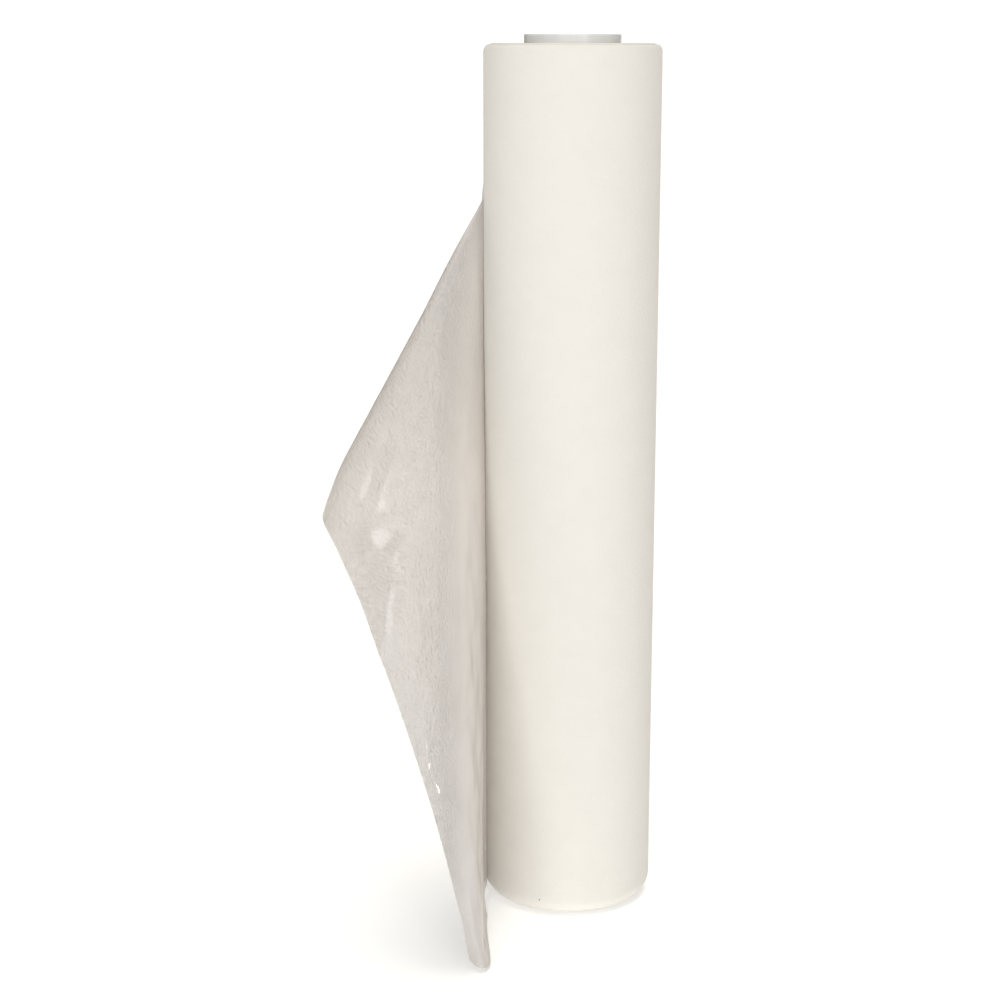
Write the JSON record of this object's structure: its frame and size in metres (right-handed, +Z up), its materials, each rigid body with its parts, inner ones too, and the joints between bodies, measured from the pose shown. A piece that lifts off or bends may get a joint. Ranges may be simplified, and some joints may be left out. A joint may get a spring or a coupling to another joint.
{
  "type": "exam table paper roll",
  "caption": "Tall roll of film-backed couch paper wound on a white plastic tube, standing on end, its loose sheet hanging off one side with a folded-back corner.",
  "frame": {"origin": "on the tube's axis, at the tube's lower end, where the roll stands", "axes": "+Z up along the tube; the front is -Y, and the loose sheet hangs off the -X side towards the front"},
  "size_m": [0.1893, 0.1805, 0.5048],
  "materials": {
    "core": "glossy, slightly translucent",
    "sheet": "matte embossed tissue outside, glossy film inside"
  },
  "bodies": {
    "root": {"core_tube": "core", "paper_roll": "sheet"}
  },
  "joints": []
}
